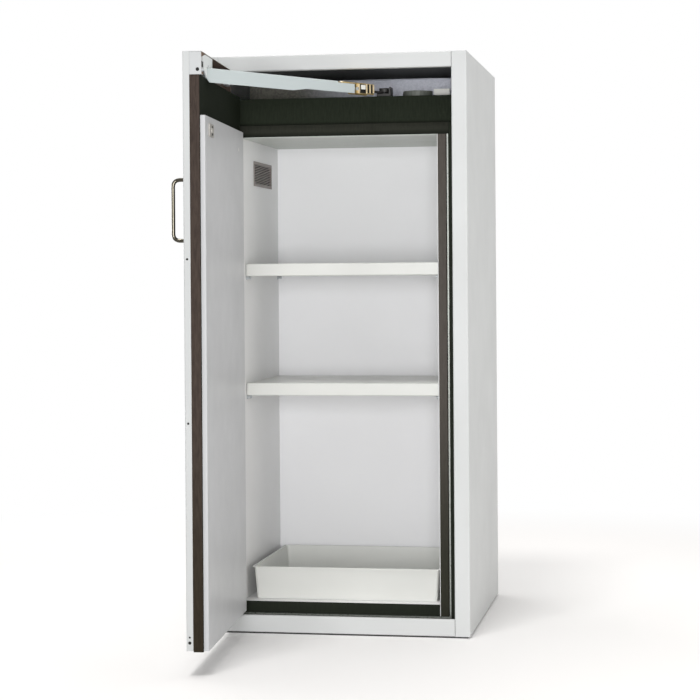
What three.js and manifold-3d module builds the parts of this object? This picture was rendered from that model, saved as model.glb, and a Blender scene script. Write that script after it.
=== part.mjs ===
import * as THREE from 'three';
import { mergeVertices } from 'three/addons/utils/BufferGeometryUtils.js';
import Module from 'manifold-3d';

// Fire-resistant safety cabinet for chemicals. One wing door is hinged on the left and is held open
// by a stay. Inside are two shelves and a spill tray. Millimetres, +Z up, the front faces -Y, and the
// origin lies under the middle of the base plate. Places across are measured from the cabinet's left
// side, places back from its front face and heights from the floor.

// Cabinet
const width = 596;
const depth = 615;
const height = 1298;
const seat = 0.3; // gap between pieces that rest on or stand beside each other
const overrun = 4; // how far a cutting shape runs past what it cuts
const boreClearance = 0.3;

// Sheet-steel carcass
const sheet = 1.5;
const bend = 2.6;
const baseHeight = 3.6;
const baseInset = 5;
const stileWidth = 34;
const topRailHeight = 34;
const sillHeight = 41.5;
const frameReturn = 20;
const sillReturn = 8; // the sill's top edge is deeper only round the door's pivot
const pivotShelfReach = 12;
const backFlange = 14;

// Inner box of fire board with its thin liners
const wallThickness = 73; // from the cabinet's side to the clear inside
const rearThickness = 165;
const boxSetback = 50; // the inner box starts this far behind the front face
const floorHeight = 66.8;
const liner = 1.2;
const sideBoard = 18;
const backBoard = 18;
const floorBoard = 26;
const ceilingBoard = 26;
const headerThickness = 59.9;
const headerSetback = 46;
const mechanismHeight = 92.8; // from the header's top to the cabinet's top
const trimWidth = 3;
const trimGroove = 3;
const trimDepth = 26;
const trimProud = 4;
const insulationEnd = 20; // clear space before the back panel's flanges

// Mechanism space above the header
const ductSideGap = 38;
const ductSetback = 300;
const ductRearGap = 23;
const ductHeight = 62;
const ductLip = 10;
const valveInset = 125; // from the cabinet's right side
const valveSetback = 120;
const valveRadius = 34;
const valveRimHeight = 11;
const valveRise = 15;
const valveRim = 3.5;
const stopBlockInset = 49;
const stopBlockSetback = 92;
const stopBlockWidth = 36;
const stopBlockDepth = 16;
const stopBlockHeight = 18;

// Vent grille in the left wall
const grilleWidth = 192;
const grilleHeight = 58;
const grilleRearGap = 79; // from the inner box's back
const grilleDrop = 73.5; // from the ceiling to the grille's middle
const grilleRim = 5;
const grilleProud = 1.5;
const grilleDepth = 9;
const slatCount = 8;
const slatThickness = 3;
const slatTilt = THREE.MathUtils.degToRad(8);

// Shelves on pins
const upperShelfDrop = 285.3; // from the ceiling to the upper shelf's top
const lowerShelfRise = 491.8; // from the floor to the lower shelf's top
const shelfSetback = 88;
const shelfRearGap = 6;
const shelfLip = 28.7;
const shelfHem = 12;
const shelfSideGap = 2.2;
const pinRadius = 3.2;
const pinHeadRadius = 4.8;
const pinHead = 1.6;
const pinReach = 9;
const pinShank = 12;
const pinInset = 34;

// Spill tray
const traySetback = 75;
const trayRearGap = 12;
const traySideGap = 12.3;
const trayOffset = 6.3; // the tray stands nearer to the right wall
const trayHeight = 73.3;
const trayTaper = 5; // each side leans in by this much towards the bottom
const trayRim = 4;
const trayCorner = 6;
const traySheet = 1.5;

// Door leaf, drawn closed and then turned open about its pivots
const openAngle = THREE.MathUtils.degToRad(85.8);
const pivotInset = 16; // from the leaf's hinge edge
const pivotSetback = 10;
const leafGap = 4; // between the leaf and each stile
const leafSillGap = 10;
const leafRailGap = 8.7;
const panDepth = 14;
const topFlange = 38;
const leafThickness = 34; // to the back of the core board
const coreRise = 2.8; // how far the core stands above the level of the header's top
const coreDrop = 2.3; // how far the core reaches below the pan
const innerPanel = 10;
const innerPanelHingeInset = 18;
const innerPanelFreeInset = 8;
const innerPanelDrop = 1.3;
const innerPanelRise = 9.7; // how far the inner panel laps over the ceiling's edge
const innerPanelRound = 2.5;
const capSheet = 2;
const capReturn = 16;
const capDepth = 38.8;
const capHole = 3.8;
const capHoleInset = 7.9;
const capHoleRise = 10.5;
const edgeHoleSmall = 1.8;
const edgeHoleLarge = 3.3;
const edgeHoleLow = 16.5;
const edgeHoleStep = 11;
const edgeHoleMiddle = 456.6;
const edgeHoleHigh = 417.5;

// Pivots of the door
const pivotRadius = 5;
const pivotHeadRadius = 8;
const pivotHead = 4;
const collarRadius = 9;
const pivotBlockLength = 34;
const pivotBlockHeight = 20;
const pivotBlockDepth = 17;
const pivotReach = 16;

// Handle and strike plate
const handleSpacing = 123;
const handleDrop = 318.4; // from the leaf's top to the handle's middle
const handleInset = 30;
const handleReach = 26;
const handleRadius = 4;
const handleBend = 15;
const strikeWidth = 54;
const strikeHeight = 27;
const strikeThickness = 2;
const strikeInset = 65;
const strikeDrop = 27;
const boltWidth = 14;
const boltHeight = 10;
const boltReach = 4;

// Stay that holds the door open
const stayPivotInset = 94; // from the leaf's free edge
const stayPivotBack = 21;
const stayFold = THREE.MathUtils.degToRad(36.9);
const elbowOffset = 2; // the folded stay's elbow stops this far from the door's pivot
const stayWidth = 25;
const stayRise = 24.3; // from the header's top to the stay's top
const stayOuterCheek = 29.5;
const stayInnerCheek = 21;
const staySheet = 2;
const stayNose = 12;
const stayTail = 30;
const stayTailNotch = 13;
const stayTailRelief = 2.8;
const stayTaperShares = [0.6, 0.71];
const elbowSeat = 24; // the channel's end is lower from here to take the link
const stayClearance = 0.8; // over the header
const stayPin = 4;
const stayPinHead = 7;
const stayPinHeadHeight = 2.6;
const elbowHead = 1.2;
const stayCollar = 6.4;
const stayCollarHeight = 4.6;
const bracketSheet = 2.2;
const bracketStart = 18; // from the stay's pivot to the bracket's lower part
const bracketEnd = 74;
const bracketReach = 48; // from the stay's pivot towards the hinge
const bracketFoot = 14;
const bracketOffset = 5.8; // the upright's outer face stands this far inward of the stay's axis

// Gilt link between the stay and the catch
const catchInset = 194; // from the cabinet's right side
const catchSetback = 66;
const catchWidth = 31;
const catchDepth = 40;
const catchSetForward = 12; // from the stud to the block's front
const catchHeight = 21.5;
const catchBase = 7.5;
const catchPost = 3.2;
const catchStep = 2.6; // how far the knob stays below the post
const catchRound = 2;
const knobRadius = 11.5;
const linkSheet = 3;
const linkWidth = 24;
const linkEnd = 12;
const hookSheet = 3;
const hookWidth = 16;
const hookStart = 40;
const hookBend = 80; // where the hook steps down
const hookEnd = 9;
const cheekStart = 35;
const cheekEnd = 94;
const cheekSheet = 3;
const notchAngle = THREE.MathUtils.degToRad(-136);
const studRadius = 4;
const studClearance = 0.9;

const arcSteps = 3;
const roundSteps = 24;

const wasm = await Module();
wasm.setup();

const across = (fromLeft) => fromLeft - width / 2;
const back = (fromFront) => fromFront - depth / 2;

// Closed outline with a radius of its own at each corner [x, y, radius].
function outline(corners) {
  const shape = new THREE.Shape();
  corners.forEach(([x, y, radius = 0], i) => {
    const corner = new THREE.Vector2(x, y);
    const before = new THREE.Vector2(...corners.at(i - 1)).sub(corner).normalize();
    const after = new THREE.Vector2(...corners[(i + 1) % corners.length]).sub(corner).normalize();
    const line = i === 0 ? 'moveTo' : 'lineTo';
    if (radius <= 0) {
      shape[line](x, y);
      return;
    }
    const half = Math.acos(THREE.MathUtils.clamp(before.dot(after), -1, 1)) / 2;
    const centre = before.clone().add(after).normalize().multiplyScalar(radius / Math.sin(half)).add(corner);
    const from = before.clone().multiplyScalar(radius / Math.tan(half)).add(corner);
    const to = after.clone().multiplyScalar(radius / Math.tan(half)).add(corner);
    shape[line](from.x, from.y);
    shape.absarc(
      centre.x, centre.y, radius,
      Math.atan2(from.y - centre.y, from.x - centre.x),
      Math.atan2(to.y - centre.y, to.x - centre.x),
      before.cross(after) > 0,
    );
  });
  shape.closePath();
  return shape;
}

// Section of a folded sheet: the path is its outer face and side says where the metal lies.
function foldedSheet(path, thickness, radius, side) {
  const points = path.map((p) => new THREE.Vector2(...p));
  const normals = points.slice(1).map((p, i) => {
    const run = p.clone().sub(points[i]).normalize();
    return new THREE.Vector2(-run.y, run.x).multiplyScalar(side);
  });
  const outer = [];
  const inner = [];
  points.forEach((p, i) => {
    const a = normals[Math.max(i - 1, 0)];
    const b = normals[Math.min(i, normals.length - 1)];
    const shift = a.clone().add(b).multiplyScalar(thickness / (1 + a.dot(b)));
    const isEnd = i === 0 || i === points.length - 1;
    const convex = a.cross(b) * side > 0;
    const tight = Math.max(radius - thickness, 0);
    outer.push([p.x, p.y, isEnd ? 0 : convex ? radius : tight]);
    inner.push([p.x + shift.x, p.y + shift.y, isEnd ? 0 : convex ? tight : radius]);
  });
  return [...outer, ...inner.reverse()];
}

const rectangle = (x0, y0, x1, y1, radius = 0) =>
  [[x0, y0, radius], [x1, y0, radius], [x1, y1, radius], [x0, y1, radius]];

// Prisms: a section drawn in XY rises along Z, one in YZ runs along X and one in XZ runs along Y.
function extrude(corners, length, holes = []) {
  const shape = outline(corners);
  shape.holes = holes.map(outline);
  return new THREE.ExtrudeGeometry(shape, { depth: length, bevelEnabled: false, curveSegments: arcSteps });
}
const axes = (x, y, z) => new THREE.Matrix4().makeBasis(
  new THREE.Vector3(...x), new THREE.Vector3(...y), new THREE.Vector3(...z));
const alongZ = (corners, z0, z1, holes) => extrude(corners, z1 - z0, holes).translate(0, 0, z0);
const alongX = (corners, x0, x1, holes) => extrude(corners, x1 - x0, holes)
  .applyMatrix4(axes([0, 1, 0], [0, 0, 1], [1, 0, 0])).translate(x0, 0, 0);
const alongY = (corners, y0, y1, holes) => extrude(corners, y1 - y0, holes)
  .applyMatrix4(axes([1, 0, 0], [0, 0, 1], [0, -1, 0])).translate(0, y1, 0);
const block = (x0, y0, z0, x1, y1, z1) => alongZ(rectangle(x0, y0, x1, y1), z0, z1);
const rod = (x, y, z0, z1, radius) => new THREE.CylinderGeometry(radius, radius, z1 - z0, roundSteps)
  .rotateX(Math.PI / 2).translate(x, y, (z0 + z1) / 2);
const rodAlongX = (x0, x1, y, z, radius) => new THREE.CylinderGeometry(radius, radius, x1 - x0, roundSteps)
  .rotateZ(Math.PI / 2).translate((x0 + x1) / 2, y, z);

// Turned piece about a vertical axis through x, y: the profile is [radius, height] from axis to axis.
const turned = (profile, x, y) => new THREE.LatheGeometry(
  profile.map((p) => new THREE.Vector2(...p)), roundSteps).rotateX(Math.PI / 2).translate(x, y, 0);

// Solids for joining and cutting.
function solid(geometry) {
  const bare = geometry.clone();
  bare.deleteAttribute('normal');
  bare.deleteAttribute('uv');
  const merged = mergeVertices(bare);
  return new wasm.Manifold(new wasm.Mesh({
    numProp: 3,
    vertProperties: new Float32Array(merged.attributes.position.array),
    triVerts: new Uint32Array(merged.index.array),
  }));
}
function geometryOf(manifold) {
  const { numProp, vertProperties, triVerts } = manifold.getMesh();
  const geometry = new THREE.BufferGeometry();
  geometry.setAttribute('position', new THREE.BufferAttribute(vertProperties, numProp));
  geometry.setIndex(new THREE.BufferAttribute(triVerts, 1));
  geometry.computeVertexNormals();
  return geometry;
}
const join = (...parts) => geometryOf(parts.map(solid).reduce((sum, part) => sum.add(part)));
const cut = (body, ...tools) =>
  geometryOf(tools.map(solid).reduce((rest, tool) => rest.subtract(tool), solid(body)));
const common = (a, b) => geometryOf(solid(a).intersect(solid(b)));

const finish = (color, roughness, metalness = 0) =>
  new THREE.MeshStandardMaterial({ color, roughness, metalness });
const paint = finish('#dadcdd', 0.42);
const linerPaint = finish('#d9dadb', 0.5);
const board = finish('#2f2b27', 0.9);
const boardEdge = finish('#4a423d', 0.85);
const galvanised = finish('#a9adb8', 0.38, 0.8);
const zinc = finish('#c4c8cb', 0.35, 0.85);
const gilt = finish('#b89a5a', 0.35, 0.8);
const chrome = finish('#d4d6d8', 0.12, 1);
const blackPlastic = finish('#1d1c1b', 0.55);
const whitePlastic = finish('#e9e9e4', 0.5);
const greyPlastic = finish('#6f6a68', 0.6);

const cabinet = new THREE.Group();
const leaf = new THREE.Group();
const stay = new THREE.Group();
const link = new THREE.Group();
function add(parent, name, geometry, material) {
  const mesh = new THREE.Mesh(geometry, material);
  mesh.name = name;
  parent.add(mesh);
}

// Carcass. The side panels run the full height and fold round into the stiles, and the top panel and
// the sill fold in between them.
const half = width / 2;
const front = -depth / 2;
const rear = depth / 2;
const inside = half - sheet - seat;
const betweenStiles = half - stileWidth - seat;
const inner = half - sheet;
for (const [name, side] of [['side_panel_left', -1], ['side_panel_right', 1]]) {
  const path = [
    [side * half, rear],
    [side * half, front],
    [side * (half - stileWidth), front],
    [side * (half - stileWidth), front + frameReturn],
  ];
  add(cabinet, name, cut(
    alongZ(foldedSheet(path, sheet, bend, -side), baseHeight, height),
    block(Math.min(side * inner, side * overrun), front + sheet, height - sheet - seat,
      Math.max(side * inner, side * overrun), front + frameReturn + overrun, height + overrun)), paint);
}
const pivotX = -half + stileWidth + leafGap + pivotInset;
const pivotY = back(pivotSetback);
const pivotHole = pivotRadius + boreClearance;
const railBottom = height - topRailHeight;
const topRail = alongX(foldedSheet([
  [front + frameReturn + overrun, height],
  [front, height],
  [front, railBottom],
  [front + frameReturn, railBottom],
], sheet, bend, 1), -betweenStiles, betweenStiles);
const topSheet = block(-inside, front + sheet + seat, height - sheet, inside, rear, height);
add(cabinet, 'top_panel', cut(join(topRail, topSheet),
  rod(pivotX, pivotY, railBottom - overrun, railBottom + sheet + overrun, pivotHole)), paint);
const pivotShelf = pivotX + collarRadius + pivotShelfReach;
add(cabinet, 'sill', cut(alongX(foldedSheet([
  [front + frameReturn, baseHeight],
  [front, baseHeight],
  [front, sillHeight],
  [front + frameReturn, sillHeight],
], sheet, bend, -1), -betweenStiles, betweenStiles),
rod(pivotX, pivotY, sillHeight - sheet - overrun, sillHeight + overrun, pivotHole),
block(pivotShelf, front + sillReturn, sillHeight - sheet - overrun,
  half, front + frameReturn + overrun, sillHeight + overrun)), paint);
add(cabinet, 'back_panel', alongZ(foldedSheet([
  [-inside, rear - backFlange],
  [-inside, rear],
  [inside, rear],
  [inside, rear - backFlange],
], sheet, bend, -1), baseHeight, height - sheet - seat), paint);
add(cabinet, 'base_plate', block(-half + baseInset, front + baseInset, 0,
  half - baseInset, rear - baseInset, baseHeight - seat), blackPlastic);

// Inner box. Its fire boards show their dark edges round the opening, and thin light liners face them.
const clearHalf = half - wallThickness;
const clearDepth = depth - boxSetback - rearThickness;
const headerTop = height - mechanismHeight;
const ceilingBoardTop = headerTop - headerThickness - seat;
const ceilingBoardBottom = ceilingBoardTop - ceilingBoard;
const ceiling = ceilingBoardBottom - seat - liner;
const linerBack = clearHalf + liner;
const boardInner = linerBack + seat;
const boardOuter = boardInner + sideBoard;
const trimInner = boardOuter + trimGroove;
const trimOuter = trimInner + trimWidth;
const boxFront = back(boxSetback);
const boxBack = boxFront + clearDepth;
const boardBack = boxBack + liner + seat + backBoard;
const floorBoardTop = floorHeight - liner - seat;
const floorBoardBottom = floorBoardTop - floorBoard;
const boardBottom = floorBoardTop + seat;
const sideTop = ceilingBoardBottom - seat;
const grilleLevel = ceiling - grilleDrop;
const grilleY = boxBack - grilleRearGap - grilleWidth / 2;
const grilleHole = (reach) => rectangle(
  grilleY - grilleWidth / 2 + reach, grilleLevel - grilleHeight / 2 + reach,
  grilleY + grilleWidth / 2 - reach, grilleLevel + grilleHeight / 2 - reach);
const sideSection = (frontY, backY) => rectangle(frontY, floorBoardBottom, backY, sideTop);
add(cabinet, 'floor_board', block(-clearHalf + seat, boxFront, floorBoardBottom,
  clearHalf - seat, boardBack, floorBoardTop), board);
add(cabinet, 'ceiling_board', block(-trimOuter, boxFront, ceilingBoardBottom,
  trimOuter, boardBack, ceilingBoardTop), board);
add(cabinet, 'side_board_left', alongX(sideSection(boxFront, boardBack), -boardOuter, -boardInner,
  [grilleHole(grilleRim)]), boardEdge);
add(cabinet, 'side_board_right', alongX(sideSection(boxFront, boardBack), boardInner, boardOuter), boardEdge);
add(cabinet, 'back_board', block(-boardInner + seat, boxBack + liner + seat, boardBottom,
  boardInner - seat, boardBack, sideTop), board);
add(cabinet, 'liner_left', alongX(sideSection(boxFront, boxBack), -linerBack, -clearHalf,
  [grilleHole(grilleRim)]), linerPaint);
add(cabinet, 'liner_right', alongX(sideSection(boxFront, boxBack), clearHalf, linerBack), linerPaint);
add(cabinet, 'liner_floor', block(-clearHalf + seat, boxFront, boardBottom,
  clearHalf - seat, boxBack, floorHeight), linerPaint);
add(cabinet, 'liner_ceiling', block(-clearHalf + seat, boxFront, ceiling,
  clearHalf - seat, boxBack, ceiling + liner), linerPaint);
add(cabinet, 'liner_back', block(-linerBack, boxBack + seat, boardBottom,
  linerBack, boxBack + liner, sideTop), linerPaint);

// Bright trims stand in the joint between the inner box and the outer insulation, one on each side and
// one under the floor board.
const trimTop = floorBoardBottom - seat;
const trimBottom = trimTop - trimWidth;
const trimBack = boxFront + trimDepth;
for (const [name, side] of [['trim_left', -1], ['trim_right', 1]]) {
  add(cabinet, name, alongZ([
    [side * trimInner, boxFront - trimProud],
    [side * trimOuter, boxFront - trimProud],
    [side * trimOuter, trimBack],
    [side * (boardOuter + seat), trimBack],
    [side * (boardOuter + seat), trimBack - trimDepth / 2],
    [side * trimInner, trimBack - trimDepth / 2],
  ], trimTop + seat, sideTop), zinc);
}
add(cabinet, 'trim_sill', block(-trimOuter, boxFront - trimProud, trimBottom, trimOuter, trimBack, trimTop), zinc);

// Outer insulation between the box and the sheet steel, and the thick header above the box.
const insulationInner = trimOuter + seat;
const insulationBack = rear - insulationEnd;
const insulationBottom = baseHeight + seat;
add(cabinet, 'insulation_left', block(-inside, boxFront, insulationBottom,
  -insulationInner, insulationBack, ceilingBoardTop), board);
add(cabinet, 'insulation_right', block(insulationInner, boxFront, insulationBottom,
  inside, insulationBack, ceilingBoardTop), board);
add(cabinet, 'insulation_back', block(-trimOuter, boardBack + seat, insulationBottom,
  trimOuter, insulationBack, ceilingBoardTop), board);
add(cabinet, 'insulation_base', alongX([
  [front + frameReturn + seat, insulationBottom],
  [boardBack, insulationBottom],
  [boardBack, floorBoardBottom - seat],
  [trimBack + seat, floorBoardBottom - seat],
  [trimBack + seat, trimBottom - seat],
  [front + frameReturn + seat, trimBottom - seat],
], -trimOuter, trimOuter), board);
const headerFront = back(headerSetback);
add(cabinet, 'header', alongX(rectangle(headerFront, ceilingBoardTop + seat,
  insulationBack, headerTop), -inside, inside), board);

// On the header lie the duct, a disc valve, a white stop block and the catch for the stay.
const onHeader = headerTop + seat;
const ductFront = back(ductSetback);
const ductHalf = half - ductSideGap;
const ductDepth = rear - ductRearGap - ductFront;
add(cabinet, 'duct', cut(alongX([
  [ductFront, onHeader],
  [ductFront + ductDepth, onHeader],
  [ductFront + ductDepth, onHeader + ductHeight],
  [ductFront - ductLip, onHeader + ductHeight],
  [ductFront - ductLip, onHeader + ductHeight - sheet],
  [ductFront, onHeader + ductHeight - sheet],
], -ductHalf, ductHalf),
block(-ductHalf + sheet, ductFront + sheet, onHeader - overrun,
  ductHalf - sheet, ductFront + ductDepth - sheet, onHeader + ductHeight - sheet)), galvanised);
const valveX = half - valveInset;
const valveY = back(valveSetback);
const discRadius = valveRadius - valveRim;
add(cabinet, 'valve_rim', turned([
  [discRadius, onHeader],
  [valveRadius, onHeader],
  [valveRadius, onHeader + valveRimHeight],
  [valveRadius - seat, onHeader + valveRise],
  [discRadius, onHeader + valveRise],
  [discRadius, onHeader],
], valveX, valveY), blackPlastic);
const domeShares = [[0.97, 0.86], [0.9, 0.96], [0.6, 1.02], [0.16, 1.05], [0.13, 1.14], [0, 1.16]];
add(cabinet, 'valve_disc', turned([
  [0, onHeader],
  [discRadius - seat, onHeader],
  ...domeShares.map(([r, h]) => [(discRadius - seat) * r, onHeader + valveRise * h]),
], valveX, valveY), zinc);
add(cabinet, 'stop_block', block(half - stopBlockInset - stopBlockWidth, back(stopBlockSetback), onHeader,
  half - stopBlockInset, back(stopBlockSetback) + stopBlockDepth,
  onHeader + stopBlockHeight), whitePlastic);
const catchX = half - catchInset;
const catchY = back(catchSetback);
const catchTop = onHeader + catchHeight;
const stayTop = headerTop + stayRise;
const linkTop = stayTop;
const linkBottom = linkTop - linkSheet;
const hookBottom = onHeader + catchBase + seat;
const hookTop = hookBottom + hookSheet;
const catchFront = catchY - catchSetForward;
const catchLeft = catchX - catchWidth / 2;
const catchRight = catchX + catchWidth / 2;
add(cabinet, 'catch_block', join(
  alongX(rectangle(catchFront, onHeader, catchFront + catchDepth, onHeader + catchBase, catchRound),
    catchLeft, catchRight),
  alongX(rectangle(catchFront, onHeader, catchFront + catchDepth, catchTop, catchRound),
    catchRight - catchPost, catchRight),
  rod(catchX, catchY, onHeader, hookTop + 2 * seat, studRadius),
  rod(catchX, catchY, hookTop + seat, catchTop - catchStep, knobRadius)), blackPlastic);

// Vent grille: a thin rim on the wall and slanted slats in the opening.
const slatPitch = (grilleHeight - 2 * grilleRim) / slatCount;
const grilleInner = grilleHole(grilleRim + seat);
const slats = Array.from({ length: slatCount + 4 }, (_, i) => {
  const level = grilleLevel + (i - (slatCount + 3) / 2) * slatPitch;
  return new THREE.BoxGeometry(grilleDepth, grilleWidth, slatThickness)
    .rotateX(slatTilt).translate(-clearHalf - grilleDepth / 2, grilleY, level);
});
const slatSpace = alongX(grilleInner, -clearHalf - grilleDepth, -clearHalf + seat);
add(cabinet, 'vent_grille', join(
  common(join(...slats), slatSpace),
  alongX(grilleInner, -clearHalf - grilleDepth, -clearHalf + seat, [grilleHole(grilleRim + seat + sheet)]),
  alongX(grilleHole(0), -clearHalf + seat, -clearHalf + seat + grilleProud,
    [grilleHole(grilleRim + seat + sheet)])), greyPlastic);

// Shelves: flat sheets with deep folded lips in front and behind, each on four pins in the walls.
const shelfHalf = clearHalf - shelfSideGap;
const shelfFront = back(shelfSetback);
const shelfDepth = boxBack - shelfRearGap - shelfFront;
for (const [place, level] of [
  ['upper', ceiling - upperShelfDrop],
  ['lower', floorHeight + lowerShelfRise],
]) {
  const section = foldedSheet([
    [shelfFront + shelfHem, level - shelfLip],
    [shelfFront, level - shelfLip],
    [shelfFront, level],
    [shelfFront + shelfDepth, level],
    [shelfFront + shelfDepth, level - shelfLip],
    [shelfFront + shelfDepth - shelfHem, level - shelfLip],
  ], sheet, bend, -1);
  add(cabinet, `shelf_${place}`, alongX(section, -shelfHalf, shelfHalf), paint);
  const pinZ = level - shelfLip - seat - pinRadius;
  for (const [sideName, side] of [['left', -1], ['right', 1]]) {
    for (const [endName, pinY] of [
      ['front', shelfFront + pinInset / 4],
      ['rear', shelfFront + shelfDepth - pinInset / 4],
    ]) {
      const profile = [
        [0, -pinHead], [pinHeadRadius, -pinHead], [pinHeadRadius, 0], [pinRadius, 0],
        [pinRadius, pinReach], [0, pinReach],
      ].map((p) => new THREE.Vector2(...p));
      const pin = new THREE.LatheGeometry(profile, roundSteps / 2).rotateZ(side * Math.PI / 2)
        .translate(side * (clearHalf - seat - pinHead), pinY, pinZ);
      add(cabinet, `shelf_pin_${place}_${sideName}_${endName}`, pin, zinc);
    }
  }
}

// Spill tray: the sheet walls lean in towards the bottom and a narrow rim runs round the top.
function frustum(bottomRect, topRect, z0, z1) {
  const ring = (corners) => outline(corners).getPoints(arcSteps).slice(0, -1);
  const low = ring(bottomRect);
  const high = ring(topRect);
  const count = low.length;
  const position = [
    ...low.flatMap((p) => [p.x, p.y, z0]),
    ...high.flatMap((p) => [p.x, p.y, z1]),
  ];
  const index = low.flatMap((_, i) => {
    const j = (i + 1) % count;
    return [i, j, count + j, i, count + j, count + i];
  });
  for (const [a, b, c] of THREE.ShapeUtils.triangulateShape(low, [])) index.push(c, b, a);
  for (const [a, b, c] of THREE.ShapeUtils.triangulateShape(high, [])) {
    index.push(count + a, count + b, count + c);
  }
  const geometry = new THREE.BufferGeometry();
  geometry.setAttribute('position', new THREE.Float32BufferAttribute(position, 3));
  geometry.setIndex(index);
  return geometry;
}
const trayFront = back(traySetback);
const trayDepth = boxBack - trayRearGap - trayFront;
const trayHalf = clearHalf - traySideGap;
const trayBottom = floorHeight + seat;
const trayTop = trayBottom + trayHeight;
const trayPlan = (inset) => rectangle(
  trayOffset - trayHalf + inset, trayFront + inset,
  trayOffset + trayHalf - inset, trayFront + trayDepth - inset, trayCorner);
add(cabinet, 'spill_tray', cut(
  join(
    frustum(trayPlan(trayTaper), trayPlan(0), trayBottom, trayTop),
    alongZ(trayPlan(-trayRim), trayTop - traySheet, trayTop)),
  frustum(trayPlan(trayTaper + traySheet), trayPlan(traySheet), trayBottom + traySheet, trayTop + seat)), paint);

// Door leaf, drawn closed about its pivot axis: x along the leaf, y into the cabinet.
cabinet.add(leaf);
leaf.position.set(pivotX, pivotY, 0);
leaf.rotation.z = -openAngle;
const leafY = (fromFront) => fromFront - pivotSetback;
const hingeEdge = -pivotInset;
const freeEdge = half - stileWidth - leafGap - pivotX;
const leafFace = leafY(0);
const leafBottom = sillHeight + leafSillGap;
const leafTop = railBottom - leafRailGap;
const coreTop = headerTop + coreRise;
const panBack = leafY(panDepth);
const pan = cut(
  join(
    alongZ([
      [hingeEdge, leafFace, bend], [freeEdge, leafFace, bend], [freeEdge, panBack], [hingeEdge, panBack],
    ], leafBottom, leafTop),
    block(hingeEdge + sheet, leafFace + sheet, leafTop - sheet, freeEdge, leafY(topFlange), leafTop)),
  block(hingeEdge + sheet, leafFace + sheet, leafBottom + sheet,
    freeEdge - sheet, leafY(topFlange) + overrun, leafTop - sheet),
  rod(0, 0, leafTop - sheet - overrun, leafTop + overrun, pivotHole),
  rod(0, 0, leafBottom - overrun, leafBottom + sheet + overrun, pivotHole),
  ...[
    [edgeHoleLarge, leafBottom + edgeHoleLow],
    [edgeHoleSmall, leafBottom + edgeHoleLow + edgeHoleStep],
    [edgeHoleSmall, leafBottom + edgeHoleMiddle],
    [edgeHoleSmall, leafTop - edgeHoleHigh],
  ].map(([radius, level]) =>
    rodAlongX(freeEdge - sheet - overrun, freeEdge + overrun, (leafFace + panBack) / 2, level, radius)));
add(leaf, 'door_skin', pan, paint);

const coreFront = leafFace + sheet + seat;
const coreBack = leafY(leafThickness);
const coreHinge = hingeEdge + sheet + seat;
const coreFree = freeEdge - sheet - seat;
const coreBottom = leafBottom - coreDrop;
const panFloor = leafBottom + sheet + seat;
const blockHinge = coreHinge;
const blockFree = blockHinge + pivotBlockLength;
const blockBack = coreFront + pivotBlockDepth;
add(leaf, 'door_core', cut(
  alongX([
    [coreFront, panFloor],
    [panBack + seat, panFloor],
    [panBack + seat, coreBottom],
    [coreBack, coreBottom],
    [coreBack, coreTop],
    [coreFront, coreTop],
  ], coreHinge, coreFree),
  block(coreHinge - overrun, coreFront - overrun, coreBottom - overrun,
    blockFree + seat, blockBack + seat, panFloor + pivotBlockHeight + seat)), boardEdge);
const panelBack = coreBack + seat + innerPanel;
const panelHinge = hingeEdge + innerPanelHingeInset;
const panelFree = freeEdge - innerPanelFreeInset;
const panelTop = ceiling + innerPanelRise;
add(leaf, 'door_inner_panel', alongZ([
  [panelHinge, coreBack + seat],
  [panelFree, coreBack + seat],
  [panelFree, panelBack, innerPanelRound],
  [panelHinge, panelBack, innerPanelRound],
], leafBottom - innerPanelDrop, panelTop), linerPaint);

// The cap closes the free end of the recess above the core.
const capBack = leafY(capDepth);
add(leaf, 'door_end_cap', cut(
  alongZ(foldedSheet([
    [freeEdge, panBack + seat],
    [freeEdge, capBack],
    [freeEdge - capReturn, capBack],
  ], capSheet, bend, 1), coreTop + seat, leafTop - sheet - seat),
  rodAlongX(freeEdge - capSheet - overrun, freeEdge + overrun,
    capBack - capHoleInset, coreTop + capHoleRise, capHole)), paint);

// Pivots: headed pins in the frame, bored blocks in the leaf.
const topPinEnd = leafTop - sheet - pivotReach;
add(cabinet, 'pivot_pin_top', turned([
  [0, topPinEnd],
  [pivotRadius, topPinEnd],
  [pivotRadius, railBottom + sheet + seat],
  [pivotHeadRadius, railBottom + sheet + seat],
  [pivotHeadRadius, railBottom + sheet + seat + pivotHead],
  [0, railBottom + sheet + seat + pivotHead],
], pivotX, pivotY), zinc);
add(cabinet, 'pivot_pin_bottom', turned([
  [0, sillHeight - sheet - seat - pivotHead],
  [pivotHeadRadius, sillHeight - sheet - seat - pivotHead],
  [pivotHeadRadius, sillHeight - sheet - seat],
  [pivotRadius, sillHeight - sheet - seat],
  [pivotRadius, sillHeight + seat],
  [collarRadius, sillHeight + seat],
  [collarRadius, leafBottom - seat],
  [pivotRadius, leafBottom - seat],
  [pivotRadius, leafBottom + sheet + pivotReach],
  [0, leafBottom + sheet + pivotReach],
], pivotX, pivotY), zinc);
const pivotBlock = (z0, z1) => cut(
  alongZ(rectangle(blockHinge, coreFront, blockFree, blockBack, bend), z0, z1),
  rod(0, 0, z0 - overrun, z1 + overrun, pivotHole));
add(leaf, 'pivot_block_top', pivotBlock(
  leafTop - sheet - seat - pivotBlockHeight, leafTop - sheet - seat), zinc);
add(leaf, 'pivot_block_bottom', pivotBlock(
  leafBottom + sheet + seat, leafBottom + sheet + seat + pivotBlockHeight), zinc);

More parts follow.
